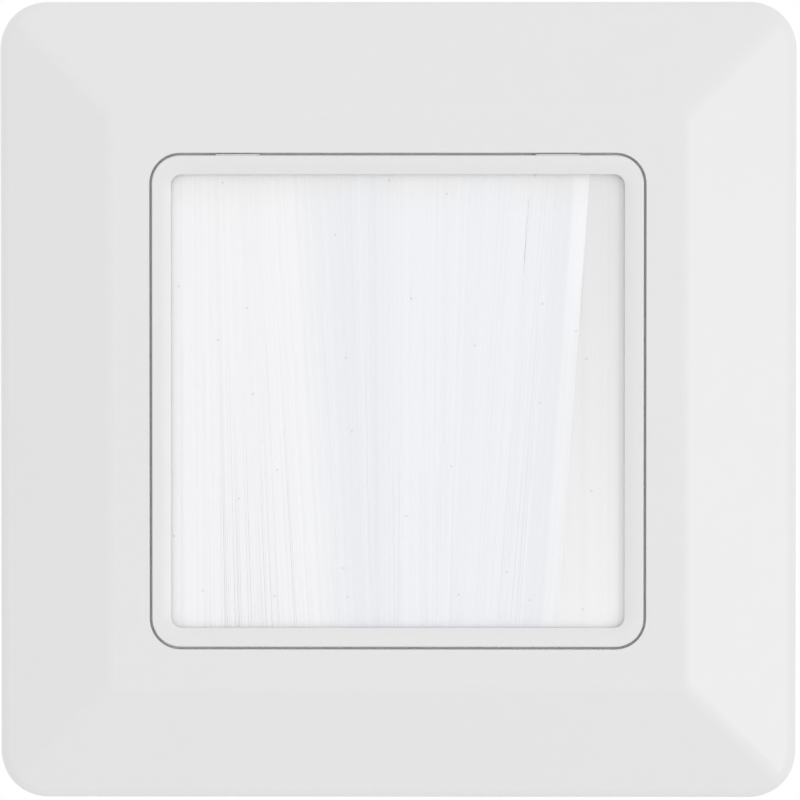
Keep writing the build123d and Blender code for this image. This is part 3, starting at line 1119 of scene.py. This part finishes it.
@dataclass
class Camera:
    """The camera at the photograph's angle.

    Attributes:
        azimuth: how far it stands to the right of the plate's axis.
        elevation: how far it stands above it.
        distance: how far it is from the point it aims at.
        aim: that point, on the plate's front.
        view_width: the width that the picture takes in at that point.
        sensor: the sensor's width.
    """

    azimuth: float = 0.467
    elevation: float = 1.409
    distance: float = 560.7
    aim: tuple[float, float, float] = (0.222, -9.6, 0.141)
    view_width: float = 80.67
    sensor: float = 36.0

    def build(self) -> None:
        """Make the camera and point it at the plate."""
        data = bpy.data.cameras.new("camera")
        data.sensor_width = self.sensor
        data.lens = self.sensor * self.distance / self.view_width
        data.clip_start = 0.01
        data.clip_end = 20.0
        camera = bpy.data.objects.new("camera", data)
        bpy.context.scene.collection.objects.link(camera)
        turn, rise = math.radians(self.azimuth), math.radians(self.elevation)
        back = Vector((math.sin(turn) * math.cos(rise), -math.cos(turn) * math.cos(rise), math.sin(rise)))
        camera.location = Vector(self.aim) * MM + back * self.distance * MM
        camera.rotation_mode = "QUATERNION"
        camera.rotation_quaternion = (-back).to_track_quat("-Z", "Y")
        bpy.context.scene.camera = camera


@dataclass(frozen=True)
class Lamp:
    """A soft square lamp that shines at the plate.

    Attributes:
        name: the lamp's name.
        place: where it stands.
        side: its width and height.
        power: its power in watts.
    """

    name: str
    place: tuple[float, float, float]
    side: float
    power: float

    def build(self) -> None:
        """Make the lamp and aim it at the origin."""
        data = bpy.data.lights.new(self.name, "AREA")
        data.shape = "SQUARE"
        data.size = self.side * MM
        data.energy = self.power
        lamp = bpy.data.objects.new(self.name, data)
        lamp.location = Vector(self.place) * MM
        lamp.rotation_mode = "QUATERNION"
        lamp.rotation_quaternion = (-lamp.location).to_track_quat("-Z", "Y")
        bpy.context.scene.collection.objects.link(lamp)


@dataclass
class Studio:
    """A white room: an even sky, soft lamps and a pale floor below the plate.

    Attributes:
        sky: the strength of the even light.
        lamps: the lamps.
        floor_drop: how far the floor is below the plate's middle.
        floor_reach: the floor's radius.
        fade: the radii between which the floor turns from a lit surface to plain white.
        floor_grey: the floor's own colour, the same in all three channels.
        floor_sides: the sides of the polygon that the floor is cut from.
    """

    sky: float = 0.933
    lamps: tuple[Lamp, ...] = (
        Lamp("right_lamp", (740.0, -740.0, -250.0), 500.0, 4.6),
    )
    floor_drop: float = 140.0
    floor_reach: float = 1500.0
    fade: tuple[float, float] = (180.0, 520.0)
    floor_grey: float = 0.95
    floor_sides: int = 96

    @staticmethod
    def _seen(tree: Tree) -> Wire:
        """1 for rays that show the background as it is: from the camera, or mirrored or let through."""
        rays = tree.node("ShaderNodeLightPath", {}, {})
        return rays["Is Camera Ray"].highest(rays["Is Glossy Ray"]).highest(rays["Is Transmission Ray"])

    def _sky(self) -> None:
        """White to look at, and an even light."""
        world = bpy.data.worlds.new("sky")
        world.use_nodes = True
        bpy.context.scene.world = world
        tree = Tree(world.node_tree)
        background = world.node_tree.nodes["Background"]
        background.inputs["Color"].default_value = (1.0, 1.0, 1.0, 1.0)
        strength = self._seen(tree) * (1 - self.sky) + self.sky
        world.node_tree.links.new(strength.socket, background.inputs["Strength"])

    def _floor(self) -> None:
        """A round floor that keeps the plate's shadow and fades to white further out."""
        mesh = bpy.data.meshes.new("floor")
        corners = [math.tau * step / self.floor_sides for step in range(self.floor_sides)]
        reach, height = self.floor_reach * MM, -self.floor_drop * MM
        rim = [(reach * math.cos(angle), reach * math.sin(angle), height) for angle in corners]
        mesh.from_pydata(rim, [], [tuple(range(self.floor_sides))])
        floor = bpy.data.objects.new("floor", mesh)
        bpy.context.scene.collection.objects.link(floor)
        surface = Surface("floor")
        place = surface.node("ShaderNodeVectorMath", {"operation": "LENGTH"}, {0: surface.place()})["Value"]
        mottle = surface.noise(surface.place(), 1 / (40 * MM), 3.0)
        grey = (self.floor_grey,) * 3
        darker = (self.floor_grey - 0.02,) * 3
        surface.set(Base_Color=surface.blend(darker, grey, mottle), Roughness=0.8)
        white = surface.node("ShaderNodeEmission", {}, {"Color": (1.0, 1.0, 1.0, 1.0)})["Emission"]
        share = place.ramp(self.fade[0] * MM, self.fade[1] * MM) * self._seen(surface)
        shader = Wire(surface, surface.shader.outputs["BSDF"])
        mixed = surface.node("ShaderNodeMixShader", {}, {0: share, 1: shader, 2: white})["Shader"]
        surface.node_tree.links.new(mixed.socket, surface.node_tree.nodes["Material Output"].inputs["Surface"])
        mesh.materials.append(surface.material)

    def build(self) -> None:
        """Make the sky, the floor and the lamps."""
        self._sky()
        self._floor()
        for lamp in self.lamps:
            lamp.build()
        bpy.context.scene.view_settings.view_transform = "Standard"


def main() -> None:
    """Build every sub-assembly, then the studio."""
    logging.basicConfig(level=logging.INFO, format="%(name)s %(message)s")
    Camera().build()
    Mouldings().build()
    screw_finish = SCREW_ZINC.material()
    SupportPlate().build(screw_finish)
    for side in ("left", "right"):
        BoxScrew(f"box_screw_{side}").build(screw_finish)
    Brush("front_brush", BrushEnd.TOP, seed=11).build()
    Brush(
        "rear_brush",
        BrushEnd.BOTTOM,
        seed=29,
        lean_in=-0.3,
        lean_back=0.4,
        lift=0.95,
        rim_lift=1.5,
        # the rear brush takes the darker copy of the nylon: painted shade
        finish=SHADED_REAR_NYLON,
    ).build()
    Studio().build()


if __name__ == "__main__":
    main()
